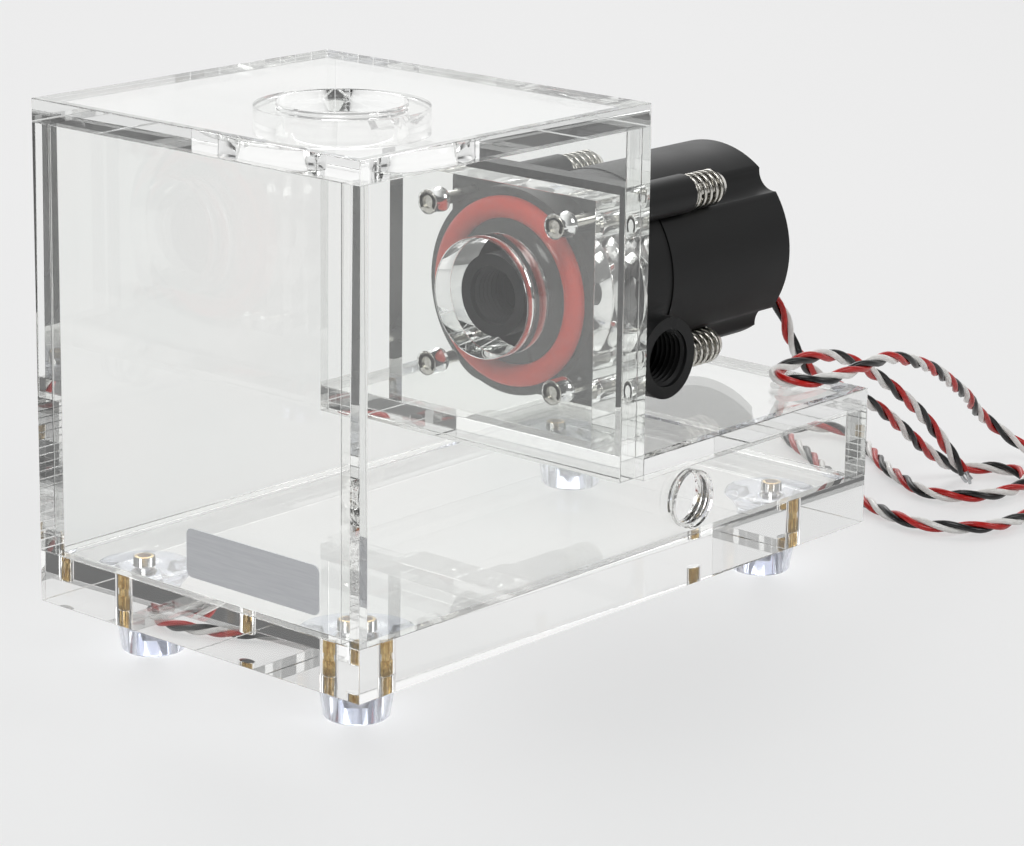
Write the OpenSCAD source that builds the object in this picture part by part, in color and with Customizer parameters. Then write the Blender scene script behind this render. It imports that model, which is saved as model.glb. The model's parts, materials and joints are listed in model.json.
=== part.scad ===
// Coolant reservoir in clear acrylic sheet, with a canned-rotor pump on its low deck.
// X runs from the front wall to the pump's tail, Y from the port side to the far side, Z up.
// The origin is on the floor, under the middle of the tank.

/* [Tank] */
// Width of the tank, across Y
tank_w = 95; // [85:1:120]
// Length of the tall tank, along X
tall_len = 88; // [70:1:110]
// Length of the base, tall tank and deck together
base_len = 170; // [165:1:200]
// Height of the tall tank, from the base's underside to the lid's top
tank_h = 110; // [98:1:150]
// Thickness of the clear sheet of walls, lid and deck
wall = 5; // [4:0.5:6]
// Thickness of the base plate
base_t = 11.5; // [9:0.5:15]
// Height of the deck's top above the base's underside
deck_top = 32.5; // [30:0.5:34]

/* [Fill opening] */
// Diameter of the fill opening
fill_d = 27.5; // [18:0.5:32]
// Outside diameter of the collar under the lid
collar_d = 37.5; // [34:0.5:44]
// Height of the collar
collar_h = 6; // [4:0.5:10]

/* [Ports] */
// Diameter of the G1/4 port thread
port_d = 13.16; // [9:0.02:14]
// Distance of the side port behind the tall tank
port_back = 18; // [12:0.5:40]

/* [Mounting plate] */
// Width of the pump's mounting plate
plate_w = 60; // [50:1:64]
// Height of the mounting plate
plate_h = 55; // [52:1:60]
// Thickness of the mounting plate
plate_t = 8; // [7:0.5:10]
// Diameter of the water passage through the rear wall and the plate
passage_d = 27; // [22:0.5:30]

/* [Pump] */
// Height of the pump's axis above the base's underside
pump_z = 61.5; // [59:0.5:63]
// Distance of the pump's axis from the middle plane, towards the port side
pump_side = 2; // [-4:0.5:4]
// Distance from the mounting plate to the pump's flange
flange_gap = 11; // [10:0.5:14]
// Side of the square flange
flange_w = 50; // [46:0.5:54]
// Thickness of the flange
flange_t = 5; // [3:0.5:8]
// Half the distance between neighbouring mounting screws
screw_half = 18.5; // [18:0.25:20]
// Outside radius of the motor can
can_r = 23.5; // [23.5:0.25:24.5]
// Length of the motor can
can_len = 43; // [40:1:60]
// Outside diameter of the inlet and outlet spigots
spigot_d = 18.6; // [16:0.2:19]
// Depth of the thread in a spigot
thread_depth = 9; // [6:0.5:9]
// Distance from the pump's axis down to the outlet's axis
outlet_drop = 14.5; // [13:0.5:15]
// Distance from the pump's axis to the outlet's face
outlet_reach = 30; // [29:0.5:34]
// Cord diameter of the main O-ring, as squeezed
oring_cord = 5; // [4:0.1:5.6]
// Outside diameter of the main O-ring
oring_od = 43; // [40:0.5:43]

/* [Mounting screws] */
// Thread radius of every screw
screw_r = 1.48; // [1.2:0.02:1.6]
// Outside diameter of the flange's screw bosses
boss_d = 9; // [7.5:0.25:9.5]
// Length of the screw bosses, from the flange's face
boss_len = 26; // [20:1:30]
// Fitted length of the springs
spring_len = 10.5; // [8:0.5:16]
// Outside diameter of the springs
spring_od = 8.4; // [7.2:0.1:8.4]
// Wire diameter of the springs
spring_wire = 0.8; // [0.6:0.1:1]
// Turns of each spring
spring_turns = 6; // [4:1:8]

/* [Feet] */
// Height of the feet
foot_h = 11; // [8:0.5:16]
// Radius of a foot's wide top
foot_r = 11; // [9:0.5:12]
// Distance of the feet from the sides
foot_inset = 17; // [13:0.5:24]

/* [Rotor] */
// Radius of the impeller
impeller_r = 15.5; // [12:0.5:16]
// Number of impeller blades
blades = 6; // [4:1:8]
// Radius of the magnet
magnet_r = 9.8; // [8:0.1:10]
// Radius of the ceramic shaft
shaft_r = 1.5; // [1:0.1:2]

/* [Lead] */
// Diameter of the twisted three-wire lead
lead_d = 3.2; // [2.6:0.1:4]

/* [Hidden] */
$fn = 96;

// Clearances
slip = 0.05;      // radial, between the shaft and what turns on it
fit = 0.1;        // between parts that are pushed together
free = 0.5;       // round screws and springs
eps = 0.01;       // how far a cut runs past a face

// Tank, seen from the corner of the base's underside
label_t = 0.3;
label_w = 38;
label_h = 10.5;
label_corner = 1.5;
label_y = 11;
label_z = 16;
side_inner = tank_w - 2 * wall;
deck_low = deck_top - wall;
lid_low = tank_h - wall;
port_z = (base_t + deck_low) / 2;
port_x = tall_len + port_back;
port_r = port_d / 2;
fill_x = tall_len / 2;

// Pump, with its stations along X
pump_y = tank_w / 2 - pump_side;
plate_rear = tall_len + plate_t;
seat_gap = 2.5;
seat_face = plate_rear + seat_gap;
oring_floor = plate_rear + oring_cord;
oring_mid = (oring_od - oring_cord) / 2;
seat_r = oring_od / 2 + 2;
flange_face = plate_rear + flange_gap;
flange_back = flange_face + flange_t;
inlet_face = tall_len - 1;
inlet_r = 5;
outlet_r = 3.8;
outlet_lift = 2.9;
outlet_root = 8;
chamber_wall = 5;
chamber_face = flange_face + chamber_wall;
chamber_len = 10;
chamber_back = chamber_face + chamber_len;
chamber_r = impeller_r + 1.3;
cup_flange_t = 2.5;
seam = chamber_back + cup_flange_t;
tail = seam + can_len;
cup_flange_r = 19.5;
can_wall = 3.2;
can_in = can_r - can_wall;
outlet_x = flange_face + 8;
boss_end = flange_face + boss_len;
boss_r = boss_d / 2;
groove_r = spring_od / 2 + free;
screw_end = boss_end + spring_len;
screw_places = [for (a = [-1, 1], b = [-1, 1]) [a * screw_half, b * screw_half]];
head_r = spring_od / 2 - 0.3;
head_t = 1.8;
insert_len = plate_t - 0.8;
insert_r = 2.8;
corner_r = 4;
big_corner = 10;

// Rotor and stator
cup_gap = 0.8;
cup_wall = 0.8;
cup_in = magnet_r + cup_gap;
cup_out = cup_in + cup_wall;
magnet_len = 21;
magnet_face = seam + 1;
magnet_end = magnet_face + magnet_len;
washer_t = 0.9;
washer_gap = 0.1;
rotor_face = chamber_face + 1.2;
blade_h = 6;
blade_t = 1.2;
disc_t = 1.6;
hub_r = 4.5;
neck_r = 7;
bushing_r = 3;
bushing_len = 6;
cup_end = magnet_end + washer_t + 2 * washer_gap + 1.5;
support_len = 4;
support_face = rotor_face - washer_gap - washer_t - support_len;
shaft_seat = 2;
core_face = seam + 3;
core_len = 18;
core_in = cup_out + 0.3;
yoke_t = 3;
tooth_w = 4;
slots = 6;
coil_t = 1.5;
board_face = core_face + core_len + 9;
board_t = 1.6;
board_r = can_in - 1;
cover_t = 3;
post_r = 1.6;
lead_in = 12.3;
lead_down = 11.3;
grommet_r = 3;
grommet_lip = 0.35;
grommet_out = 2;
post_turn = 30;

// Foot
foot_low_r = 7;
foot_lip = 1.6;
foot_recess_r = 3.6;
foot_recess = 6;
foot_head_r = 2.9;
foot_head_t = 2;
base_insert_r = 2.35;
base_insert_len = 8;
foot_screw_reach = 6;

// Route of the lead's middle, counted as the tank is, from the grommet to its bare ends
lead_points = [[0, 0, 0], [3, -1, -1], [7, -3, -6], [10, -4, -14], [17, -5, -22], [30, -5, -29],
    [44, -5, -36], [56, -5, -44], [67, -5, -52], [78, -7, -58.6], [86, -12, -59.3], [88, -19, -59.3],
    [83, -25, -59.3], [74, -27, -59.3], [65, -25, -59.3], [58, -19, -59.3], [57, -11, -59.3],
    [61, -3, -59.3], [68, 8, -59.3], [77, 19, -59.3], [86, 30, -59.3], [91, 39, -59.3],
    [88, 48, -59.3], [80, 50, -59.3], [73, 43, -59.3], [65, 31, -59.3], [56, 19, -59.3],
    [47, 6, -59.3], [39, -7, -59.3], [34, -19, -59.3], [34, -30, -59.3], [41, -39, -59.3],
    [53, -42, -59.3], [67, -40, -59.3], [81, -36, -59.3], [93, -29, -59.3], [101, -19, -59.3],
    [101, -10, -56], [94, -6, -50], [84, -8, -44], [74, -12, -38], [62, -16, -32], [48, -20, -25],
    [34, -23, -19.5], [20, -25, -15.6], [8, -26, -15.3], [-3, -26, -15.8], [-10, -24, -15.8],
    [-13, -19, -15.8], [-10, -14, -15.8], [-3, -12, -15.8], [8, -12, -15.3], [20, -12, -18],
    [34, -12, -25], [47, -13, -34], [58, -13, -43], [66, -14, -52], [72, -15, -59.3]];
lead_steps = 80;
lead_sides = 8;

module at_tank() {
    translate([(label_t - base_len) / 2, -tank_w / 2, foot_h]) children();
}

// Along the pump's axis: local z points to the tail, local x down and local y to the far side
module on_axis(x = 0) {
    at_tank() translate([x, pump_y, pump_z]) rotate([0, 90, 0]) children();
}

module sheet(size, at) {
    at_tank() translate(at) cube(size);
}

module rounded_plate(size, r, t) {
    linear_extrude(t) union() {
        translate([r, 0]) square([size[0] - 2 * r, size[1]]);
        translate([0, r]) square([size[0], size[1] - 2 * r]);
        for (x = [r, size[0] - r], y = [r, size[1] - r]) translate([x, y]) circle(r);
    }
}

module at_screws() {
    for (p = screw_places) translate([p[0], p[1], 0]) children();
}

module at_feet() {
    for (x = [foot_inset, base_len - foot_inset], y = [foot_inset, tank_w - foot_inset])
        translate([x, y, 0]) children();
}

module base_plate() {
    color([0.88, 0.93, 0.95, 0.5]) at_tank() difference() {
        cube([base_len, tank_w, base_t]);
        at_feet() translate([0, 0, -eps]) cylinder(r = base_insert_r, h = base_insert_len + eps);
    }
}

module front_wall() {
    color([0.88, 0.93, 0.95, 0.5]) sheet([wall, side_inner, lid_low - base_t], [0, wall, base_t]);
}

module side_wall_outline() {
    polygon([[0, base_t], [base_len, base_t], [base_len, deck_low], [tall_len, deck_low], [tall_len, lid_low],
        [0, lid_low]]);
}

module near_side_wall() {
    color([0.88, 0.93, 0.95, 0.5]) at_tank() difference() {
        translate([0, wall, 0]) rotate([90, 0, 0]) linear_extrude(wall) side_wall_outline();
        translate([port_x, wall + eps, port_z]) rotate([90, 0, 0]) cylinder(r = port_r, h = wall + 2 * eps);
    }
}

module far_side_wall() {
    color([0.88, 0.93, 0.95, 0.5]) at_tank() translate([0, tank_w, 0]) rotate([90, 0, 0])
        linear_extrude(wall) side_wall_outline();
}

module rear_wall() {
    color([0.88, 0.93, 0.95, 0.5]) difference() {
        sheet([wall, side_inner, lid_low - deck_low], [tall_len - wall, wall, deck_low]);
        on_axis(tall_len - wall - eps) cylinder(d = passage_d, h = wall + 2 * eps);
    }
}

module end_wall() {
    color([0.88, 0.93, 0.95, 0.5]) sheet([wall, side_inner, deck_low - base_t], [base_len - wall, wall, base_t]);
}

module deck_plate() {
    color([0.88, 0.93, 0.95, 0.5]) sheet([base_len - tall_len, tank_w, wall], [tall_len, 0, deck_low]);
}

module top_plate() {
    color([0.88, 0.93, 0.95, 0.5]) at_tank() difference() {
        translate([0, 0, lid_low]) cube([tall_len, tank_w, wall]);
        translate([fill_x, tank_w / 2, lid_low - eps]) cylinder(d = fill_d, h = wall + 2 * eps);
    }
}

module fill_collar() {
    color([0.84, 0.91, 0.93, 0.5]) at_tank() translate([fill_x, tank_w / 2, lid_low - collar_h]) difference() {
        cylinder(d = collar_d, h = collar_h);
        translate([0, 0, -eps]) cylinder(d = fill_d, h = collar_h + 2 * eps);
    }
}

module mounting_plate() {
    color([0.86, 0.92, 0.94, 0.5]) difference() {
        sheet([plate_t, plate_w, plate_h], [tall_len, pump_y - plate_w / 2, deck_top]);
        on_axis(tall_len - eps) cylinder(d = passage_d, h = plate_t + 2 * eps);
        on_axis(tall_len - eps) at_screws() cylinder(r = insert_r, h = plate_t + 2 * eps);
    }
}

module blank_label() {
    color("#9a9c9e") at_tank() translate([0, label_y, label_z]) rotate([90, 0, -90])
        mirror([1, 0, 0]) rounded_plate([label_w, label_h], label_corner, label_t);
}

// Soft foot: a wide lip against the base, a tapering body and a deep recess for its screw
module foot(x, y) {
    color([0.8, 0.88, 0.96, 0.6]) at_tank() translate([x, y, -foot_h]) rotate_extrude() polygon([
        [foot_recess_r, 0], [foot_low_r - 0.6, 0], [foot_low_r, 0.6], [foot_low_r + 1, foot_h - foot_lip - 2.4],
        [foot_r - 1, foot_h - foot_lip], [foot_r, foot_h - foot_lip + 0.8], [foot_r - 0.5, foot_h],
        [screw_r + free / 2, foot_h], [screw_r + free / 2, foot_recess], [foot_recess_r, foot_recess]]);
}

module foot_front_near() { foot(foot_inset, foot_inset); }
module foot_front_far() { foot(foot_inset, tank_w - foot_inset); }
module foot_rear_near() { foot(base_len - foot_inset, foot_inset); }
module foot_rear_far() { foot(base_len - foot_inset, tank_w - foot_inset); }

module foot_screws() {
    color("#b9bcc0") at_tank() at_feet() translate([0, 0, foot_recess - foot_h]) {
        cylinder(r = screw_r, h = foot_h - foot_recess + foot_screw_reach);
        translate([0, 0, -foot_head_t]) cylinder(r1 = foot_head_r - 0.5, r2 = foot_head_r, h = foot_head_t);
    }
}

// Knurled insert: two bands with a groove between them and a threaded bore
module insert(r, len, bore) {
    band = len * 0.4;
    difference() {
        union() {
            cylinder(r = r - 0.25, h = len);
            cylinder(r = r, h = band);
            translate([0, 0, len - band]) cylinder(r = r, h = band);
        }
        translate([0, 0, -eps]) cylinder(r = bore, h = len + 2 * eps);
    }
}

module base_inserts() {
    color("#c9a24e") at_tank() at_feet() insert(base_insert_r, base_insert_len, screw_r + 0.02);
}

module plate_inserts() {
    color("#c4c6c8") on_axis(tall_len) at_screws() insert(insert_r, insert_len, screw_r + 0.02);
}

module main_oring() {
    color("#d8481f") on_axis(plate_rear + oring_cord / 2) rotate_extrude() translate([oring_mid, 0])
        circle(oring_cord / 2, $fn = 32);
}

// Rounded square; the lower far corner has the large round
function corner(x, y, r, from, n) = let (c = flange_w / 2 - r)
    [for (i = [0:n]) [x * c + r * cos(from + 90 * i / n), y * c + r * sin(from + 90 * i / n)]];

module flange_outline() {
    polygon(concat(corner(1, 1, big_corner, 0, 12), corner(-1, 1, corner_r, 90, 6), corner(-1, -1, corner_r, 180, 6),
        corner(1, -1, corner_r, 270, 6)));
}

module at_outlet() {
    on_axis(outlet_x) translate([outlet_drop, -outlet_reach, 0]) rotate([-90, 0, 0]) children();
}

// The bosses run on past the seam, in the can's flutes
module pump_volute() {
    color("#1d1e20") difference() {
        union() {
            on_axis(seat_face) cylinder(r = seat_r, h = flange_face - seat_face + 1);
            on_axis(inlet_face) cylinder(d = spigot_d, h = seat_face - inlet_face + 1);
            on_axis(flange_face) linear_extrude(flange_t) flange_outline();
            on_axis(flange_face + 2) cylinder(r = can_r - 0.3, h = seam - flange_face - 2);
            on_axis(flange_face + 1.5) at_screws() cylinder(r = boss_r, h = boss_len - 1.5, $fn = 48);
            at_outlet() cylinder(d = spigot_d, h = outlet_reach - outlet_root);
        }
        on_axis(seat_face - 1) difference() {
            cylinder(r = oring_mid + oring_cord / 2 + fit, h = plate_rear + oring_cord - seat_face + 1);
            translate([0, 0, -1]) cylinder(r = oring_mid - oring_cord / 2 - fit, h = oring_cord + 4);
        }
        on_axis(inlet_face - 1) cylinder(r = port_r, h = thread_depth + 1);
        on_axis(inlet_face - 1) cylinder(r = inlet_r, h = chamber_face - inlet_face + 2);
        on_axis(support_face) cylinder(r = inlet_r + 2, h = chamber_face - support_face + 1);
        on_axis(chamber_face) cylinder(r = chamber_r, h = chamber_len + 1);
        on_axis(chamber_back) cylinder(r = cup_flange_r + fit, h = cup_flange_t + 1);
        on_axis(chamber_back - 1.2) cylinder(r = cup_flange_r - 0.4, h = 2);
        at_outlet() translate([0, 0, -1]) cylinder(r = port_r, h = thread_depth + 1);
        at_outlet() translate([-outlet_lift, 0, 1]) cylinder(r = outlet_r, h = outlet_reach - 1);
        on_axis(flange_face - 1) at_screws() cylinder(r = screw_r + free / 2, h = boss_len + 2, $fn = 32);
    }
}

// Motor can with four flutes that clear the screw bosses, springs and a driver
module motor_can() {
    color("#232425") difference() {
        on_axis(seam) cylinder(r = can_r, h = can_len);
        on_axis(seam - eps) cylinder(r = can_in, h = can_len + 2 * eps);
        on_axis(seam - eps) at_screws() cylinder(r = boss_r + fit, h = can_len + 2 * eps, $fn = 48);
    }
}

module rear_cover() {
    color("#1b1c1d") difference() {
        union() {
            on_axis(tail - cover_t) cylinder(r = can_in, h = cover_t);
            on_axis(board_face + board_t) for (a = [0, 120, 240]) rotate(a + post_turn)
                translate([board_r - 3, 0, 0]) cylinder(r = post_r, h = tail - cover_t - board_face - board_t + eps, $fn = 32);
        }
        on_axis(tail - cover_t - eps) translate([lead_down, -lead_in, 0])
            cylinder(r = grommet_r + slip, h = cover_t + 2 * eps);
    }
}

module lead_grommet() {
    color("#2a2b2c") on_axis(tail - cover_t - 1) translate([lead_down, -lead_in, 0]) {
        cylinder(r = grommet_r, h = cover_t + 1 + grommet_out);
        cylinder(r = grommet_r + grommet_lip, h = 1);
    }
}

module mounting_screws() {
    color("#b9bcc0") on_axis(tall_len + 0.5) at_screws() {
        cylinder(r = screw_r, h = screw_end - tall_len - 0.5 + eps, $fn = 32);
        translate([0, 0, screw_end - tall_len - 0.5]) difference() {
            cylinder(r1 = head_r, r2 = head_r - 0.8, h = head_t, $fn = 32);
            translate([0, 0, head_t - 1.2]) cylinder(r = 1.3, h = 2, $fn = 6);
        }
    }
}

// Compression spring: round wire on a helix, its end turns closed up and flat
function helix_z(u) = let (end = 0.16) spring_wire / 2 + (spring_len - spring_wire)
    * (u < end ? 0.5 * u * end * 1.6 : u > 1 - end ? 1 - 0.5 * (1 - u) * end * 1.6
    : let (e = 0.5 * end * end * 1.6) e + (u - end) * (1 - 2 * e) / (1 - 2 * end));

module spring() {
    sides = 6;
    rings = spring_turns * 12;
    mid = (spring_od - spring_wire) / 2;
    points = [for (i = [0:rings], k = [0:sides - 1])
        let (a = 360 * spring_turns * i / rings, b = 360 * k / sides,
            r = mid + spring_wire / 2 * cos(b), z = helix_z(i / rings) + spring_wire / 2 * sin(b))
        [r * cos(a), r * sin(a), z]];
    polyhedron(points, concat([[for (k = [0:sides - 1]) k]],
        [for (i = [0:rings - 1], k = [0:sides - 1]) let (n = (k + 1) % sides, p = i * sides)
            [p + k, p + sides + k, p + sides + n, p + n]],
        [[for (k = [sides - 1:-1:0]) rings * sides + k]]), convexity = 8);
}

module mounting_springs() {
    color("#c8cacc") on_axis(boss_end) at_screws() spring();
}

// Blade along a logarithmic spiral
function blade_point(s, side) = let (r = hub_r - 0.5 + (impeller_r - hub_r + 0.5) * s, a = 70 * s)
    [r * cos(a) - side * blade_t / 2 * sin(a - 30), r * sin(a) + side * blade_t / 2 * cos(a - 30)];

module impeller() {
    color("#e4e2da") on_axis(rotor_face) difference() {
        union() {
            for (i = [0:blades - 1]) rotate(360 * i / blades) linear_extrude(blade_h + eps) polygon(concat(
                [for (s = [0:0.125:1]) blade_point(s, 1)], [for (s = [1:-0.125:0]) blade_point(s, -1)]));
            translate([0, 0, blade_h]) cylinder(r = impeller_r, h = disc_t);
            cylinder(r = hub_r, h = magnet_end - rotor_face);
            translate([0, 0, blade_h + disc_t - eps]) cylinder(r = neck_r, h = magnet_face - rotor_face - blade_h - disc_t + eps);
        }
        translate([0, 0, -eps]) cylinder(r = bushing_r, h = magnet_end - rotor_face + 2 * eps);
    }
}

module rotor_magnet() {
    color("#3a3b3d") on_axis(magnet_face) difference() {
        cylinder(r = magnet_r, h = magnet_len);
        translate([0, 0, -eps]) cylinder(r = hub_r, h = magnet_len + 2 * eps);
    }
}

module bushing(x) {
    color("#4a4643") on_axis(x) difference() {
        cylinder(r = bushing_r, h = bushing_len);
        translate([0, 0, -eps]) cylinder(r = shaft_r + slip, h = bushing_len + 2 * eps);
    }
}

module front_bushing() { bushing(rotor_face); }
module rear_bushing() { bushing(magnet_end - bushing_len); }

module pump_shaft() {
    color("#f1efe8") on_axis(rotor_face - washer_gap - washer_t - shaft_seat)
        cylinder(r = shaft_r, h = cup_end - rotor_face + washer_gap + washer_t + shaft_seat);
}

// Support of the shaft in the inlet, with round ways for the water
module front_support() {
    color("#2c2d2f") on_axis(support_face) difference() {
        union() {
            cylinder(r = bushing_r, h = support_len);
            cylinder(r = inlet_r + 2, h = 2.5);
        }
        for (a = [30:60:330]) rotate(a) translate([(bushing_r + inlet_r + 1.2) / 2, 0, -eps])
            cylinder(r = (inlet_r - bushing_r) / 2, h = 2.5 + 2 * eps, $fn = 32);
        translate([0, 0, support_len - shaft_seat]) cylinder(r = shaft_r, h = shaft_seat + eps);
    }
}

module thrust_washer(x) {
    color("#dcdad2") on_axis(x) difference() {
        cylinder(r = bushing_r, h = washer_t);
        translate([0, 0, -eps]) cylinder(r = shaft_r, h = washer_t + 2 * eps);
    }
}

module front_thrust_washer() { thrust_washer(rotor_face - washer_gap - washer_t); }
module rear_thrust_washer() { thrust_washer(magnet_end + washer_gap); }

// Cup that keeps the water in with the rotor and the stator dry
module isolation_cup() {
    boss_face = magnet_end + washer_gap + washer_t;
    color("#303133") difference() {
        union() {
            on_axis(chamber_back) cylinder(r = cup_flange_r, h = cup_flange_t);
            on_axis(chamber_back) cylinder(r = cup_out, h = cup_end + cup_wall + 1 - chamber_back);
        }
        on_axis(chamber_back - eps) cylinder(r = cup_in, h = boss_face - chamber_back);
        difference() {
            on_axis(boss_face - 2 * eps) cylinder(r = cup_in, h = cup_end - boss_face + 2 * eps);
            on_axis(boss_face) cylinder(r = bushing_r, h = cup_end - boss_face);
        }
        on_axis(boss_face - eps) cylinder(r = shaft_r, h = cup_end - boss_face + eps);
    }
}

module cup_seal() {
    cord = 1.2;
    color("#26272a") on_axis(chamber_back - cord / 2) rotate_extrude()
        translate([cup_flange_r - 0.5 - cord / 2, 0]) circle(cord / 2, $fn = 24);
}

module stator_core() {
    color("#8f9296") on_axis(core_face) union() {
        difference() {
            cylinder(r = can_in, h = core_len);
            translate([0, 0, -eps]) cylinder(r = can_in - yoke_t, h = core_len + 2 * eps);
        }
        difference() {
            for (i = [0:slots - 1]) rotate(360 * i / slots) translate([core_in - 1, -tooth_w / 2, 0])
                cube([can_in - yoke_t - core_in + 1.5, tooth_w, core_len]);
            translate([0, 0, -eps]) cylinder(r = core_in, h = core_len + 2 * eps);
        }
    }
}

module stator_coils() {
    high = can_in - yoke_t - core_in - 1.2;
    color("#b3652d") on_axis(core_face) for (i = [0:slots - 1]) rotate(360 * i / slots) translate([core_in + 0.6, 0, 0])
        difference() {
            translate([0, -tooth_w / 2 - coil_t, -coil_t])
                cube([high, tooth_w + 2 * coil_t, core_len + 2 * coil_t]);
            translate([-eps, -tooth_w / 2, 0]) cube([high + 2 * eps, tooth_w, core_len]);
        }
}

module control_board() {
    color("#2f6b46") on_axis(board_face) cylinder(r = board_r, h = board_t);
}

module board_components() {
    color("#34373b") on_axis(board_face - 2) {
        translate([-4, -9, 0]) cube([8, 5, 2]);
        translate([5, 2, 0]) cube([5, 6, 2]);
        translate([-10, 3, 0]) cylinder(r = 3, h = 2);
    }
}

// Lead: one smooth tube through the route's points
function spline(p, t) = let (n = len(p) - 1, i = min(floor(t), n - 1), u = t - i,
    a = p[max(i - 1, 0)], b = p[i], c = p[i + 1], d = p[min(i + 2, n)])
    0.5 * (2 * b + u * (c - a) + u * u * (2 * a - 5 * b + 4 * c - d) + u * u * u * (3 * b - a - 3 * c + d));
function unit(v) = v / norm(v);
function flat_normal(d) = let (s = cross(d, [0, 0, 1])) norm(s) < 0.01 ? [0, 1, 0] : unit(s);

// Height of the deck or the floor under the route, counted from the grommet
function rest_down(x) = (x < 14 ? deck_top : -foot_h) + lead_down - pump_z;

module pump_lead() {
    last = len(lead_points) - 1;
    route = [for (p = lead_points) [p[0], p[1], max(p[2], lead_d / 2 + 0.2 + rest_down(p[0]))]];
    mids = [for (i = [0:lead_steps]) spline(route, last * i / lead_steps)];
    points = [for (i = [0:lead_steps]) let (
        d = i == 0 ? [1, 0, 0] : unit(mids[min(i + 1, lead_steps)] - mids[i - 1]), n = flat_normal(d), m = cross(n, d))
        for (k = [0:lead_sides - 1]) let (a = 360 * (k + 0.5) / lead_sides)
            mids[i] + lead_d / 2 * (cos(a) * n + sin(a) * m)];
    color("#a8201c") at_tank() translate([tail + grommet_out, pump_y - lead_in, pump_z - lead_down])
        polyhedron(points, concat([[for (k = [0:lead_sides - 1]) k]],
            [for (i = [0:lead_steps - 1], k = [0:lead_sides - 1]) let (n = (k + 1) % lead_sides, p = i * lead_sides)
                [p + k, p + lead_sides + k, p + lead_sides + n, p + n]],
            [[for (k = [lead_sides - 1:-1:0]) lead_steps * lead_sides + k]]), convexity = 10);
}

base_plate();
front_wall();
near_side_wall();
far_side_wall();
rear_wall();
end_wall();
deck_plate();
top_plate();
fill_collar();
mounting_plate();
blank_label();
foot_front_near();
foot_front_far();
foot_rear_near();
foot_rear_far();
foot_screws();
base_inserts();
plate_inserts();
main_oring();
pump_volute();
motor_can();
rear_cover();
lead_grommet();
mounting_screws();
mounting_springs();
impeller();
rotor_magnet();
front_bushing();
rear_bushing();
pump_shaft();
front_support();
front_thrust_washer();
rear_thrust_washer();
isolation_cup();
cup_seal();
stator_core();
stator_coils();
control_board();
board_components();
pump_lead();
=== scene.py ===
import json
from math import cos, pi, radians, sin, sqrt, tau

import bmesh
import bpy
from mathutils import Matrix, Vector


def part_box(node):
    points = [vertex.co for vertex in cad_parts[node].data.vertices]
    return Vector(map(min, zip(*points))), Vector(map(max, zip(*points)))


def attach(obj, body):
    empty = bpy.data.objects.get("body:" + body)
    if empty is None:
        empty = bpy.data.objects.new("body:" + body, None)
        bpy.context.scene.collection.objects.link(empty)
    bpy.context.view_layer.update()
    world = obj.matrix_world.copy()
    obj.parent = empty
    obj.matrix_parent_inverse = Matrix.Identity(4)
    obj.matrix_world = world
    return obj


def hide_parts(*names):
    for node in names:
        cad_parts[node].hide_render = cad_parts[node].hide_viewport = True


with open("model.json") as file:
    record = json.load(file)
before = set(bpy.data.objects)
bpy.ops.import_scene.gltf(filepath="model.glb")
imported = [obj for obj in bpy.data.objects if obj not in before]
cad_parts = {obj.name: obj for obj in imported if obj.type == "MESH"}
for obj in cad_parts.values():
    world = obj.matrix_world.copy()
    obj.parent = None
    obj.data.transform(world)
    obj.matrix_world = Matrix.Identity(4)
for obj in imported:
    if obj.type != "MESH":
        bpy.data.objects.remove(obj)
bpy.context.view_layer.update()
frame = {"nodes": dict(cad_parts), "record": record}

mm = 0.001
nodes = frame["nodes"]
scene = bpy.context.scene


def boxOf(name):
    low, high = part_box(name)
    return Vector(low), Vector(high)


canLow, canHigh = boxOf("motor_can")
pumpY = (canLow.y + canHigh.y) / 2
pumpZ = (canLow.z + canHigh.z) / 2

# camera, at the height and side the product is usually shown from
cameraView = {"place": (-554.95, -498.7, 251.0), "yaw": 48.757, "pitch": 14.044, "roll": 0.752,
              "lens": 122.22, "shiftY": -0.0908}
cameraData = bpy.data.cameras.new("productCamera")
cameraData.lens = cameraView["lens"]
cameraData.sensor_width = 36
cameraData.shift_y = cameraView["shiftY"]
cameraData.clip_start = 0.01
camera = bpy.data.objects.new("productCamera", cameraData)
scene.collection.objects.link(camera)
camera.matrix_world = (Matrix.Translation(Vector(cameraView["place"]) * mm)
                       @ Matrix.Rotation(-radians(cameraView["yaw"]), 4, "Z")
                       @ Matrix.Rotation(radians(90 - cameraView["pitch"]), 4, "X")
                       @ Matrix.Rotation(radians(cameraView["roll"]), 4, "Z"))
scene.camera = camera
print("camera placed")


# materials -----
def linear(hexCode):
    parts = [int(hexCode[i:i + 2], 16) / 255 for i in (1, 3, 5)]
    return [c / 12.92 if c <= 0.04045 else ((c + 0.055) / 1.055) ** 2.4 for c in parts] + [1]


def addNode(tree, kind, settings=None, inputs=None):
    node = tree.nodes.new(kind)
    for key, value in (settings or {}).items():
        setattr(node, key, value)
    for key, value in (inputs or {}).items():
        if isinstance(value, bpy.types.NodeSocket):
            tree.links.new(value, node.inputs[key])
        else:
            node.inputs[key].default_value = value
    return node


def startMaterial(name, values):
    material = bpy.data.materials.new(name)
    material.use_nodes = True
    tree = material.node_tree
    shader = tree.nodes["Principled BSDF"]
    for key, value in values.items():
        shader.inputs[key].default_value = value
    where = addNode(tree, "ShaderNodeTexCoord")
    return material, tree, shader, where.outputs["Object"]


def colourRamp(tree, factor, stops):
    ramp = addNode(tree, "ShaderNodeValToRGB", inputs={"Fac": factor})
    for element, (place, hexCode) in zip(ramp.color_ramp.elements, stops):
        element.position = place
        element.color = linear(hexCode)
    return ramp.outputs["Color"]


def tint(tree, shader, factor, stops):
    tree.links.new(colourRamp(tree, factor, stops), shader.inputs["Base Color"])


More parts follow.
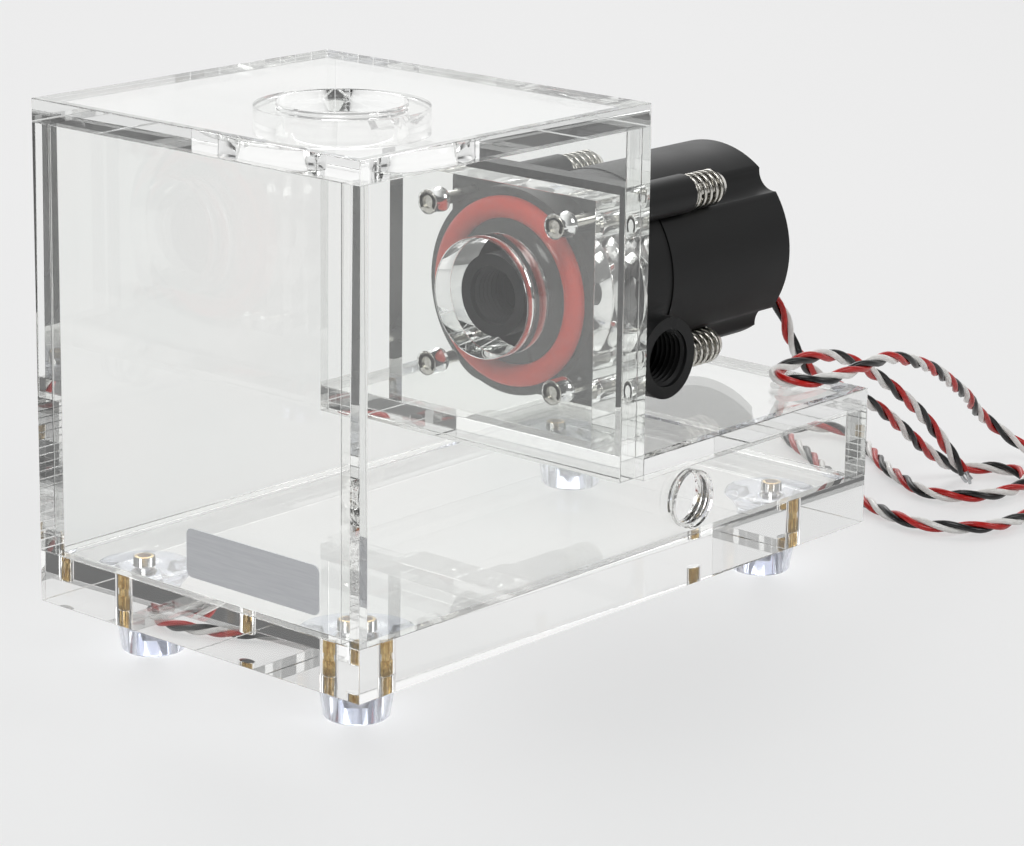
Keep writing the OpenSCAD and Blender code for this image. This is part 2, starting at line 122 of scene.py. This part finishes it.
# cast acrylic: polished faces and clear, with a depth of colour that drifts a little through the sheet
castAcrylic, tree, shader, where = startMaterial("castAcrylic", {
    "Base Color": linear("#FDFDFC"), "Roughness": 0.0, "IOR": 1.491, "Transmission Weight": 1.0})
waves = addNode(tree, "ShaderNodeTexNoise", inputs={"Vector": where, "Scale": 25.0, "Detail": 1.0})
tint(tree, shader, waves.outputs[0], [(0.35, "#FCFDFC"), (0.65, "#FEFEFD")])

# soft clear feet: faintly blue, slightly cloudy
softVinyl, tree, shader, where = startMaterial("softVinyl", {
    "Base Color": linear("#F0F2FC"), "Roughness": 0.06, "IOR": 1.47, "Transmission Weight": 0.95})
cloud = addNode(tree, "ShaderNodeTexNoise", inputs={"Vector": where, "Scale": 260.0, "Detail": 3.0})
tint(tree, shader, cloud.outputs[0], [(0.3, "#EBEFFC"), (0.7, "#F4F6FD")])

# bright nickel plating: silver with a warm cast, smeared by handling
nickelPlate, tree, shader, where = startMaterial("nickelPlate", {
    "Base Color": linear("#CFCCC4"), "Metallic": 1.0, "Roughness": 0.2})
smear = addNode(tree, "ShaderNodeTexNoise", inputs={"Vector": where, "Scale": 900.0, "Detail": 4.0})
spread = addNode(tree, "ShaderNodeMapRange", inputs={
    "Value": smear.outputs[0], "To Min": 0.14, "To Max": 0.32})
tree.links.new(spread.outputs[0], shader.inputs["Roughness"])
tint(tree, shader, smear.outputs[0], [(0.3, "#BDBAB2"), (0.7, "#DAD8D2")])

# turned brass: yellow, duller and brighter at random in fine patches
turnedBrass, tree, shader, where = startMaterial("turnedBrass", {
    "Base Color": linear("#D8B878"), "Metallic": 1.0, "Roughness": 0.26})
dull = addNode(tree, "ShaderNodeTexNoise", inputs={"Vector": where, "Scale": 1100.0, "Detail": 3.0})
tint(tree, shader, dull.outputs[0], [(0.3, "#B9924F"), (0.65, "#E6CC94")])

# silicone rubber: saturated orange red, soft highlights; its moulding grain of 0.1 mm is too fine to
# show, so it is drawn at 0.7 mm
redSilicone, tree, shader, where = startMaterial("redSilicone", {
    "Base Color": linear("#D92E08"), "Roughness": 0.42, "IOR": 1.41, "Subsurface Weight": 0.08,
    "Subsurface Scale": 0.001})
grain = addNode(tree, "ShaderNodeTexNoise", inputs={"Vector": where, "Scale": 1400.0, "Detail": 2.0})
tint(tree, shader, grain.outputs[0], [(0.3, "#D22804"), (0.7, "#E03A0C")])
bump = addNode(tree, "ShaderNodeBump", inputs={
    "Height": grain.outputs[0], "Strength": 0.15, "Distance": 0.05 * mm})
tree.links.new(bump.outputs[0], shader.inputs["Normal"])

# glass-filled nylon: moulded black with a satin skin, paler where it was rubbed; its spark-eroded grain
# of 0.2 mm is drawn at 0.45 mm, so that it shows
mouldedNylon, tree, shader, where = startMaterial("mouldedNylon", {
    "Base Color": linear("#0C0C0D"), "Roughness": 0.55, "IOR": 1.53, "Specular IOR Level": 0.3})
grain = addNode(tree, "ShaderNodeTexNoise", inputs={"Vector": where, "Scale": 2200.0, "Detail": 2.0})
rubbed = addNode(tree, "ShaderNodeTexNoise", inputs={"Vector": where, "Scale": 70.0, "Detail": 5.0})
tint(tree, shader, rubbed.outputs[0], [(0.35, "#090A0A"), (0.7, "#0F0F10")])
spread = addNode(tree, "ShaderNodeMapRange", inputs={
    "Value": rubbed.outputs[0], "To Min": 0.46, "To Max": 0.62})
tree.links.new(spread.outputs[0], shader.inputs["Roughness"])
bump = addNode(tree, "ShaderNodeBump", inputs={
    "Height": grain.outputs[0], "Strength": 0.3, "Distance": 0.03 * mm})
tree.links.new(bump.outputs[0], shader.inputs["Normal"])

# black rubber: matt, blooming a little grey
nitrileRubber, tree, shader, where = startMaterial("nitrileRubber", {
    "Base Color": linear("#1A1A1B"), "Roughness": 0.7, "IOR": 1.52})
bloom = addNode(tree, "ShaderNodeTexNoise", inputs={"Vector": where, "Scale": 500.0, "Detail": 4.0})
tint(tree, shader, bloom.outputs[0], [(0.4, "#151516"), (0.8, "#2A2A2B")])

# acetal: moulded off-white, waxy
acetal, tree, shader, where = startMaterial("acetal", {
    "Base Color": linear("#E5E2D8"), "Roughness": 0.38, "IOR": 1.48, "Subsurface Weight": 0.1,
    "Subsurface Scale": 0.001})
wax = addNode(tree, "ShaderNodeTexNoise", inputs={"Vector": where, "Scale": 300.0, "Detail": 2.0})
tint(tree, shader, wax.outputs[0], [(0.3, "#E0DCD0"), (0.7, "#EBE8DF")])

# plastic-bonded ferrite: dark grey, ground
bondedFerrite, tree, shader, where = startMaterial("bondedFerrite", {
    "Base Color": linear("#3B3C3F"), "Metallic": 0.3, "Roughness": 0.45})
specks = addNode(tree, "ShaderNodeTexVoronoi", inputs={"Vector": where, "Scale": 3000.0})
tint(tree, shader, specks.outputs["Distance"], [(0.0, "#4A4B4E"), (0.6, "#333437")])

# ground ceramic: white, hard gloss
groundCeramic, tree, shader, where = startMaterial("groundCeramic", {
    "Base Color": linear("#F1EFE8"), "Roughness": 0.18, "IOR": 1.7})
cloud = addNode(tree, "ShaderNodeTexNoise", inputs={"Vector": where, "Scale": 400.0})
tint(tree, shader, cloud.outputs[0], [(0.3, "#ECE9E0"), (0.7, "#F5F3EE")])

# stacked core plates: bands across the pump's axis, drawn far wider than the real 0.5 mm laminations
coreSteel, tree, shader, where = startMaterial("coreSteel", {
    "Base Color": linear("#8D9095"), "Metallic": 1.0, "Roughness": 0.42})
layers = addNode(tree, "ShaderNodeTexWave", {"bands_direction": "X"}, {
    "Vector": where, "Scale": 100.0, "Distortion": 0.3})
tint(tree, shader, layers.outputs[0], [(0.2, "#6F7277"), (0.6, "#9EA1A6")])

# enamelled winding wire: coppery turns, drawn wider than the real 0.5 mm
enamelWire, tree, shader, where = startMaterial("enamelWire", {
    "Base Color": linear("#B4622C"), "Metallic": 0.85, "Roughness": 0.3})
turns = addNode(tree, "ShaderNodeTexWave", {"bands_direction": "DIAGONAL"}, {
    "Vector": where, "Scale": 110.0, "Distortion": 1.0})
tint(tree, shader, turns.outputs[0], [(0.1, "#7E3D18"), (0.6, "#C8743A")])

# circuit board laminate under green resist
greenResist, tree, shader, where = startMaterial("greenResist", {
    "Base Color": linear("#1F6B42"), "Roughness": 0.3, "IOR": 1.55})
weave = addNode(tree, "ShaderNodeTexVoronoi", {"distance": "MANHATTAN"}, {"Vector": where, "Scale": 700.0})
tint(tree, shader, weave.outputs["Distance"], [(0.2, "#195A37"), (0.7, "#26784B")])

# grey film: matt, finely brushed along its length
greyFilm, tree, shader, where = startMaterial("greyFilm", {
    "Base Color": linear("#D6D8DC"), "Metallic": 0.0, "Roughness": 0.5})
stretch = addNode(tree, "ShaderNodeMapping", inputs={"Vector": where, "Scale": (1.0, 0.05, 1.0)})
brushed = addNode(tree, "ShaderNodeTexNoise", inputs={
    "Vector": stretch.outputs[0], "Scale": 2600.0, "Detail": 2.0})
tint(tree, shader, brushed.outputs[0], [(0.3, "#D2D4D8"), (0.7, "#DBDDE0")])

# vinyl wire insulation, one finish for each colour, glossy with faint die lines
insulations = {}
for wireName, (dark, pale) in {"red": ("#B5130F", "#C81E18"), "white": ("#E9E8E4", "#F6F5F2"),
                               "black": ("#0F0F10", "#19191A")}.items():
    insulations[wireName], tree, shader, where = startMaterial("vinylWire" + wireName.capitalize(), {
        "Base Color": linear(pale), "Roughness": 0.3, "IOR": 1.53})
    lines = addNode(tree, "ShaderNodeTexNoise", inputs={"Vector": where, "Scale": 700.0, "Detail": 2.0})
    tint(tree, shader, lines.outputs[0], [(0.35, dark), (0.65, pale)])

# tinned copper strands at the wires' ends
tinnedCopper, tree, shader, where = startMaterial("tinnedCopper", {
    "Base Color": linear("#B9BABC"), "Metallic": 1.0, "Roughness": 0.3})
strandNoise = addNode(tree, "ShaderNodeTexNoise", inputs={"Vector": where, "Scale": 2500.0, "Detail": 2.0})
tint(tree, shader, strandNoise.outputs[0], [(0.3, "#A3A4A6"), (0.7, "#C9CACC")])
print("materials made")


# the lead: three wires twisted together, limp, in loose folds from the pump's tail
leadSettings = {
    "diameter": 3.2, "wire": 1.48, "skin": 0.28, "twist": 19.0, "step": 1.3, "bared": 4.0, "fineSteps": 3000,
    "points": [
        (0, 0, 0), (3, -1, -1), (7, -3, -6), (10, -4, -14), (17, -5, -22), (30, -5, -29),
        (44, -5, -36), (56, -5, -44), (67, -5, -52), (78, -7, -58.6), (86, -12, -59.3), (88, -19, -59.3),
        (83, -25, -59.3), (74, -27, -59.3), (65, -25, -59.3), (58, -19, -59.3), (57, -11, -59.3),
        (61, -3, -59.3), (68, 8, -59.3), (77, 19, -59.3), (86, 30, -59.3), (91, 39, -59.3),
        (88, 48, -59.3), (80, 50, -59.3), (73, 43, -59.3), (65, 31, -59.3), (56, 19, -59.3),
        (47, 6, -59.3), (39, -7, -59.3), (34, -19, -59.3), (34, -30, -59.3), (41, -39, -59.3),
        (53, -42, -59.3), (67, -40, -59.3), (81, -36, -59.3), (93, -29, -59.3), (101, -19, -59.3),
        (101, -10, -56), (94, -6, -50), (84, -8, -44), (74, -12, -38), (62, -16, -32), (48, -20, -25),
        (34, -23, -19.5), (20, -25, -15.6), (8, -26, -15.3), (-3, -26, -15.8), (-10, -24, -15.8),
        (-13, -19, -15.8), (-10, -14, -15.8), (-3, -12, -15.8), (8, -12, -15.3), (20, -12, -18),
        (34, -12, -25), (47, -13, -34), (58, -13, -43), (66, -14, -52), (72, -15, -59.3)]}


def alongRoute(points, t):
    i = min(int(t), len(points) - 2)
    u = t - i
    a, b, c, d = points[max(i - 1, 0)], points[i], points[i + 1], points[min(i + 2, len(points) - 1)]
    bend = 2 * a - 5 * b + 4 * c - d
    return 0.5 * (2 * b + u * (c - a) + u * u * bend + u ** 3 * (3 * b - a - 3 * c + d))


grommetLow, grommetHigh = boxOf("lead_grommet")
leadExit = Vector((grommetHigh.x, (grommetLow.y + grommetHigh.y) / 2, (grommetLow.z + grommetHigh.z) / 2))
routePoints = [leadExit + Vector(p) * mm for p in leadSettings["points"]]
fineSteps = leadSettings["fineSteps"]
fineRoute = [alongRoute(routePoints, (len(routePoints) - 1) * i / fineSteps) for i in range(fineSteps + 1)]
travelled = [0.0]
for i in range(1, len(fineRoute)):
    travelled.append(travelled[-1] + (fineRoute[i] - fineRoute[i - 1]).length)
leadLength = travelled[-1]
stepCount = round(leadLength / (leadSettings["step"] * mm))
leadMiddle, seek = [], 0
for i in range(stepCount + 1):
    goal = leadLength * i / stepCount
    while seek < len(travelled) - 2 and travelled[seek + 1] < goal:
        seek += 1
    share = (goal - travelled[seek]) / max(travelled[seek + 1] - travelled[seek], 1e-12)
    leadMiddle.append(fineRoute[seek].lerp(fineRoute[seek + 1], min(share, 1)))


def twistedWire(name, phase, radius, first, last):
    curveData = bpy.data.curves.new(name, "CURVE")
    curveData.dimensions = "3D"
    curveData.bevel_depth = radius
    curveData.bevel_resolution = 2
    curveData.use_fill_caps = True
    spline = curveData.splines.new("POLY")
    spline.points.add(last - first)
    lay = leadSettings["wire"] * mm / sqrt(3)
    side = Vector((0, 1, 0))
    for i in range(last + 1):
        ahead = (leadMiddle[min(i + 1, stepCount)] - leadMiddle[max(i - 1, 0)]).normalized()
        side = (side - ahead * side.dot(ahead)).normalized()
        over = ahead.cross(side)
        turn = phase + tau * (leadLength * i / stepCount) / (leadSettings["twist"] * mm)
        if i >= first:
            place = leadMiddle[i] + lay * (cos(turn) * side + sin(turn) * over)
            spline.points[i - first].co = (*place, 1)
    curveObject = bpy.data.objects.new(name, curveData)
    scene.collection.objects.link(curveObject)
    mesh = bpy.data.meshes.new_from_object(curveObject.evaluated_get(bpy.context.evaluated_depsgraph_get()))
    bpy.data.objects.remove(curveObject)
    return mesh


def pieceFromBmesh(bm, name, materials, smoothAngle=None):
    mesh = bpy.data.meshes.new(name)
    bm.to_mesh(mesh)
    bm.free()
    for material in materials:
        mesh.materials.append(material)
    if smoothAngle is not None:
        mesh.polygons.foreach_set("use_smooth", [True] * len(mesh.polygons))
        mesh.set_sharp_from_angle(angle=radians(smoothAngle))
    piece = bpy.data.objects.new(name, mesh)
    scene.collection.objects.link(piece)
    return piece


bm = bmesh.new()
wireColours = ("red", "black", "white")
skinEnd = stepCount - round(leadSettings["bared"] / leadSettings["step"])
wireR = leadSettings["wire"] / 2
for number in range(len(wireColours)):
    covered = (wireR, 0, skinEnd, number)
    bared = (wireR - leadSettings["skin"], skinEnd - 1, stepCount, len(wireColours))
    for radius, first, last, slotIndex in (covered, bared):
        mesh = twistedWire("wire", tau * number / len(wireColours), radius * mm, first, last)
        for polygon in mesh.polygons:
            polygon.material_index = slotIndex
        bm.from_mesh(mesh)
        bpy.data.meshes.remove(mesh)
twistedLead = pieceFromBmesh(bm, "twistedLead", [insulations[c] for c in wireColours] + [tinnedCopper], 60)
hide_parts("pump_lead")
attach(twistedLead, "housing")
print("lead made, length", round(leadLength * 1000), "mm")


# the tank's clear plates -----
# bonded faces run 0.02 mm into their neighbour, so that light crosses the joint as it does in a cured bond
plateSettings = {"bond": 0.02, "edge": 0.18}
plateBonds = {
    "base_plate": "", "front_wall": "-y +y -z +z", "near_side_wall": "-z +z", "far_side_wall": "-z +z",
    "rear_wall": "-y +y +z", "end_wall": "-y +y -z +z", "deck_plate": "-x", "top_plate": "",
    "fill_collar": "+z", "mounting_plate": "-x -z"}


def breakEdges(bm, size, angle):  # rounds what is sharper than the angle, in mm and degrees
    sharp = [e for e in bm.edges if len(e.link_faces) == 2 and e.calc_face_angle(0) > radians(angle)]
    bmesh.ops.bevel(bm, geom=sharp, offset=size * mm, offset_type="OFFSET", segments=2, profile=0.5,
                    affect="EDGES", material=-1, clamp_overlap=True)


def copyOfNode(name):
    bm = bmesh.new()
    bm.from_mesh(nodes[name].data)
    bmesh.ops.remove_doubles(bm, verts=bm.verts, dist=2e-6)
    return bm


def clearPlate(name, bonds):
    bm = copyOfNode(name)
    bmesh.ops.dissolve_limit(bm, angle_limit=radians(0.5), verts=bm.verts, edges=bm.edges)
    for bond in bonds.split():
        away = Vector([float(axis == bond[1]) for axis in "xyz"]) * float(bond[0] + "1")
        touching = {v for f in bm.faces if f.normal.dot(away) > 0.999 for v in f.verts}
        bmesh.ops.translate(bm, verts=list(touching), vec=away * plateSettings["bond"] * mm)
    breakEdges(bm, plateSettings["edge"], 30)
    for face in bm.faces:
        face.smooth = max(abs(part) for part in face.normal) < 0.9999
    piece = pieceFromBmesh(bm, "clear_" + name, [castAcrylic])
    piece.visible_shadow = False
    piece.visible_diffuse = False
    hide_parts(name)
    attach(piece, "housing")
    return piece


for plateName, bonds in plateBonds.items():
    clearPlate(plateName, bonds)
print("plates made")


# feet, spun from the same profile as the solid ones
footSettings = {
    "steps": 72, "edge": 0.3,
    "profile": [(3.6, 0), (6.4, 0), (7.0, 0.6), (8.0, 7.0), (10.0, 9.4), (11.0, 10.2), (10.5, 10.98),
                (1.73, 10.98), (1.73, 6), (3.6, 6)]}
for footName in ("foot_front_near", "foot_front_far", "foot_rear_near", "foot_rear_far"):
    low, high = boxOf(footName)
    middle = Vector(((low.x + high.x) / 2, (low.y + high.y) / 2, low.z))
    bm = bmesh.new()
    ring = [bm.verts.new(middle + Vector((r * mm, 0, z * mm))) for r, z in footSettings["profile"]]
    edges = [bm.edges.new((ring[i], ring[(i + 1) % len(ring)])) for i in range(len(ring))]
    bmesh.ops.spin(bm, geom=ring + edges, cent=middle, axis=(0, 0, 1), angle=tau,
                   steps=footSettings["steps"], use_merge=True)
    bmesh.ops.recalc_face_normals(bm, faces=bm.faces)
    breakEdges(bm, footSettings["edge"], 40)
    foot = pieceFromBmesh(bm, "soft_" + footName, [softVinyl], 50)
    foot.visible_shadow = False
    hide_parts(footName)
    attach(foot, "housing")
print("feet made")


# knurled inserts -----
brassInsert = {"radius": 2.35, "bore": 1.5, "length": 8, "ribs": 16, "rib": 0.34, "slant": 0}
nickelInsert = {"radius": 2.8, "bore": 1.5, "length": 7.2, "ribs": 14, "rib": 0.4, "slant": 1}


def knurledInsert(bm, settings, start, turn):
    radius, length, bore = settings["radius"], settings["length"], settings["bore"]
    groove, band, count = radius - 0.35, length * 0.4, settings["ribs"] * 2
    stations = [(0, bore, 0), (0, groove, 0), (0.12, radius - 0.2, 0)]
    rows = 7 if settings["slant"] else 2
    for low in (0.15, length - band):
        for k in range(rows):
            stations.append((low + (band - 0.15) * k / (rows - 1), radius, 1 + (k % 2) * settings["slant"]))
        if low < 1:
            stations += [(low + band - 0.1, groove, 0), (length - band - 0.05, groove, 0)]
    stations += [(length - 0.05, groove, 0), (length, bore, 0), (0, bore, 0)]
    loop = bmesh.ops.create_circle(bm, cap_ends=False, radius=bore * mm, segments=count)["verts"]
    edges = list({e for v in loop for e in v.link_edges})
    for height, reach, rib in stations[1:]:
        new = bmesh.ops.extrude_edge_only(bm, edges=edges)["geom"]
        edges = [g for g in new if isinstance(g, bmesh.types.BMEdge)]
        for v in (g for g in new if isinstance(g, bmesh.types.BMVert)):
            flat = Vector((v.co.x, v.co.y, 0)).normalized()
            index = round((Vector((1, 0, 0)).angle(flat)) / tau * count)
            crest = rib and ((index + rib - 1) % 2 == 0)
            out = reach - (0 if crest or not rib else settings["rib"])
            v.co = flat * out * mm + Vector((0, 0, height * mm))
    bmesh.ops.transform(bm, matrix=Matrix.Translation(start) @ turn, verts=bm.verts)


def insertsPiece(name, node, settings, places, turn, material):
    bm = bmesh.new()
    for place in places:
        single = bmesh.new()
        knurledInsert(single, settings, place, turn)
        bmesh.ops.remove_doubles(single, verts=single.verts, dist=1e-6)
        bmesh.ops.recalc_face_normals(single, faces=single.faces)
        mesh = bpy.data.meshes.new("single")
        single.to_mesh(mesh)
        single.free()
        bm.from_mesh(mesh)
        bpy.data.meshes.remove(mesh)
    piece = pieceFromBmesh(bm, name, [material], 25)
    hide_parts(node)
    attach(piece, "housing")
    return piece


low, high = boxOf("base_inserts")
r = brassInsert["radius"] * mm
insertsPiece("knurledBaseInserts", "base_inserts", brassInsert,
             [Vector((x, y, low.z)) for x in (low.x + r, high.x - r) for y in (low.y + r, high.y - r)],
             Matrix.Identity(4), turnedBrass)
low, high = boxOf("plate_inserts")
r = nickelInsert["radius"] * mm
screwSpots = [Vector((low.x, y, z)) for y in (low.y + r, high.y - r) for z in (low.z + r, high.z - r)]
insertsPiece("knurledPlateInserts", "plate_inserts", nickelInsert, screwSpots, Matrix.Rotation(pi / 2, 4, "Y"),
             nickelPlate)
print("inserts made")


# O-ring, spun round
ringSettings = {"section": 28, "steps": 120}
low, high = boxOf("main_oring")
cord = high.x - low.x
oringMiddle = Vector(((low.x + high.x) / 2, pumpY, pumpZ))
bm = bmesh.new()
bmesh.ops.create_circle(bm, cap_ends=False, radius=cord / 2, segments=ringSettings["section"],
                        matrix=Matrix.Translation(oringMiddle + Vector((0, 0, (high.z - low.z - cord) / 2)))
                        @ Matrix.Rotation(pi / 2, 4, "X"))
bmesh.ops.spin(bm, geom=bm.verts[:] + bm.edges[:], cent=oringMiddle, axis=(1, 0, 0), angle=tau,
               steps=ringSettings["steps"], use_merge=True)
bmesh.ops.recalc_face_normals(bm, faces=bm.faces)
oring = pieceFromBmesh(bm, "siliconeRing", [redSilicone], 60)
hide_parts("main_oring")
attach(oring, "housing")
print("O-ring made")


# springs, wound with closed end turns
springSettings = {"turns": 6, "wire": 0.8, "outer": 8.4, "steps": 28, "section": 10, "closed": 0.9}
low, high = boxOf("mounting_springs")
springLow, springHigh = low.x - 0.05 * mm, high.x + 0.05 * mm
bm = bmesh.new()
wire = springSettings["wire"] * mm
coilR = springSettings["outer"] * mm / 2 - wire / 2
openTurns = springSettings["turns"] - 2
closed = wire * springSettings["closed"]
rise = (springHigh - springLow - wire - 2 * closed) / openTurns
for spot in screwSpots:
    centre = Vector((springLow + wire / 2, spot.y, spot.z))
    upright = Matrix.Translation(centre + Vector((0, 0, coilR))) @ Matrix.Rotation(pi / 2, 4, "X")
    made = bmesh.ops.create_circle(bm, cap_ends=False, radius=wire / 2, segments=springSettings["section"],
                                   matrix=upright)
    geometry = made["verts"] + list({e for v in made["verts"] for e in v.link_edges})
    first = [g for g in geometry if isinstance(g, bmesh.types.BMEdge)]
    for turns, pitch in ((1, closed), (openTurns, rise), (1, closed)):
        steps = springSettings["steps"] * turns
        made = bmesh.ops.spin(bm, geom=geometry, cent=centre, axis=(1, 0, 0),
                              dvec=(pitch * turns / steps, 0, 0), angle=tau * turns, steps=steps)
        geometry = made["geom_last"]
        centre = centre + Vector((pitch * turns, 0, 0))
    last = [g for g in geometry if isinstance(g, bmesh.types.BMEdge)]
    bmesh.ops.contextual_create(bm, geom=first)
    bmesh.ops.contextual_create(bm, geom=last)
bmesh.ops.recalc_face_normals(bm, faces=bm.faces)
springs = pieceFromBmesh(bm, "coilSprings", [nickelPlate], 50)
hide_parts("mounting_springs")
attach(springs, "housing")
print("springs made")


# port threads -----
threadSettings = {"pitch": 1.337, "steps": 40, "depth": 0.78}


def portThread(name, mouth, inward, radius, turns, start, rooted, material):
    inward = Vector(inward)
    across = Vector((0, 0, 1))
    pitch = threadSettings["pitch"] * mm
    bm = bmesh.new()
    rim = radius + rooted * mm
    crest = radius - threadSettings["depth"] * mm
    profile = [(rim, -0.46), (crest, -0.07), (crest, 0.07), (rim, 0.46)]
    corners = [bm.verts.new(mouth + inward * (start * mm + z * pitch) + across * reach) for reach, z in profile]
    face = bm.faces.new(corners)
    steps = round(threadSettings["steps"] * turns)
    bmesh.ops.spin(bm, geom=corners + face.edges[:] + [face], cent=mouth, axis=inward,
                   dvec=inward * (pitch * turns / steps), angle=tau * turns, steps=steps)
    bmesh.ops.recalc_face_normals(bm, faces=bm.faces)
    piece = pieceFromBmesh(bm, name, [material], 20)
    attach(piece, "housing")
    return piece


portR = 6.58 * mm
record = frame["record"]
mounts = {m["name"]: m for m in record["mounts"]}
outletMouth = Vector(mounts["pump_outlet"]["pos_m"])
portThread("outletThread", outletMouth, (0, 1, 0), portR, 5.6, 1.0, 0.05, mouldedNylon)
voluteLow = boxOf("pump_volute")[0]
portThread("inletThread", Vector((voluteLow.x, pumpY, pumpZ)), (1, 0, 0), portR, 5.6, 1.0, 0.05,
           mouldedNylon)
sideThread = portThread("sidePortThread", Vector(mounts["side_port"]["pos_m"]), (0, 1, 0), portR, 2.7,
                        0.75, 0.02, castAcrylic)
sideThread.visible_shadow = False
sideThread.visible_diffuse = False
print("threads cut")


# pieces that keep the solid's shape, with smooth curves -----
def dressed(name, material):
    bm = copyOfNode(name)
    bmesh.ops.dissolve_limit(bm, angle_limit=radians(0.3), verts=bm.verts, edges=bm.edges)
    piece = pieceFromBmesh(bm, "finished_" + name, [material], 32)
    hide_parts(name)
    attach(piece, "housing")
    return piece


dressed("pump_volute", mouldedNylon)
dressed("motor_can", mouldedNylon)
dressed("rear_cover", mouldedNylon)
dressed("lead_grommet", nitrileRubber)
dressed("mounting_screws", nickelPlate)
dressed("foot_screws", nickelPlate)
dressed("blank_label", greyFilm)

innerFinishes = {
    "impeller": acetal, "rotor_magnet": bondedFerrite, "front_bushing": nitrileRubber,
    "rear_bushing": nitrileRubber, "pump_shaft": groundCeramic, "front_support": mouldedNylon,
    "front_thrust_washer": groundCeramic,
    "rear_thrust_washer": groundCeramic, "isolation_cup": mouldedNylon, "cup_seal": nitrileRubber,
    "stator_core": coreSteel, "stator_coils": enamelWire, "control_board": greenResist,
    "board_components": mouldedNylon}
for nodeName, material in innerFinishes.items():
    for materialSlot in nodes[nodeName].material_slots:
        materialSlot.material = material
print("pump finished")


# floor, world and lamps -----
studio = {"floorSize": 6.0, "floorDrop": 0.0002, "floorShare": 0.5, "near": 0.13, "far": 1.0,
          "nearEnds": 0.22, "farStarts": 0.75, "bounces": 24}
bm = bmesh.new()
bmesh.ops.create_grid(bm, x_segments=1, y_segments=1, size=studio["floorSize"] / 2)
bmesh.ops.translate(bm, verts=bm.verts, vec=(0, 0, -studio["floorDrop"]))
floorPaper, tree, shader, where = startMaterial("floorPaper", {
    "Base Color": linear("#E6E6E6"), "Roughness": 0.6})
rays = addNode(tree, "ShaderNodeLightPath")
seen = addNode(tree, "ShaderNodeMath", {"operation": "MAXIMUM"},
               {0: rays.outputs["Is Camera Ray"], 1: rays.outputs["Is Glossy Ray"]})
seen = addNode(tree, "ShaderNodeMath", {"operation": "MAXIMUM"},
               {0: seen.outputs[0], 1: rays.outputs["Is Transmission Ray"]})
share = addNode(tree, "ShaderNodeMath", {"operation": "MULTIPLY"},
                {0: seen.outputs[0], 1: studio["floorShare"]})
# painted shade on the floor: its glow is greyer (#F2F3F3) on the near side, towards the camera, and white
# farther back
away = addNode(tree, "ShaderNodeVectorMath", {"operation": "DOT_PRODUCT"}, {0: where, 1: (0.75, 0.66, 0.0)})
farther = addNode(tree, "ShaderNodeMapRange", inputs={
    "Value": away.outputs["Value"], "From Min": -0.25, "From Max": 0.45})
paintedShadeFloorColour = colourRamp(tree, farther.outputs[0], [(0.0, "#F2F3F3"), (1.0, "#FFFFFF")])
glow = addNode(tree, "ShaderNodeEmission", inputs={"Color": paintedShadeFloorColour, "Strength": 1.0})
mixed = addNode(tree, "ShaderNodeMixShader", inputs={
    0: share.outputs[0], 1: shader.outputs[0], 2: glow.outputs[0]})
tree.links.new(mixed.outputs[0], tree.nodes["Material Output"].inputs["Surface"])
floor = pieceFromBmesh(bm, "studioFloor", [floorPaper])

world = bpy.data.worlds.new("studioWorld")
scene.world = world
world.use_nodes = True
tree = world.node_tree
background = tree.nodes["Background"]
rays = addNode(tree, "ShaderNodeLightPath")
direction = addNode(tree, "ShaderNodeTexCoord")
towards = camera.matrix_world.to_3x3() @ Vector((0, 0, -1))
depth = addNode(tree, "ShaderNodeVectorMath", {"operation": "DOT_PRODUCT"},
                {0: direction.outputs["Generated"], 1: (towards.x, towards.y, 0.0)})
ramp = addNode(tree, "ShaderNodeMapRange", inputs={
    "Value": depth.outputs["Value"], "From Min": studio["nearEnds"], "From Max": studio["farStarts"],
    "To Min": studio["near"], "To Max": studio["far"]})
plain = addNode(tree, "ShaderNodeMath", {"operation": "MAXIMUM"},
                {0: rays.outputs["Is Camera Ray"], 1: ramp.outputs[0]})
tree.links.new(plain.outputs[0], background.inputs["Strength"])
background.inputs["Color"].default_value = (1, 1, 1, 1)

lamps = {"keyLamp": {"place": (-0.75, -0.35, 1.15), "size": 0.7, "power": 8.0},
         "sideLamp": {"place": (0.55, -1.05, 0.75), "size": 0.6, "power": 4.0},
         "backLamp": {"place": (0.9, 0.9, 1.0), "size": 0.8, "power": 6.0}}
target = Vector((0, 0, 0.05))
for lampName, lamp in lamps.items():
    lampData = bpy.data.lights.new(lampName, "AREA")
    lampData.size = lamp["size"]
    lampData.energy = lamp["power"]
    lampObject = bpy.data.objects.new(lampName, lampData)
    lampObject.location = lamp["place"]
    lampObject.rotation_euler = (target - lampObject.location).to_track_quat("-Z", "Y").to_euler()
    scene.collection.objects.link(lampObject)
scene.view_settings.view_transform = "Standard"
for kind in ("max_bounces", "transmission_bounces", "glossy_bounces"):  # light crosses many clear faces here
    setattr(scene.cycles, kind, studio["bounces"])
print("studio made")
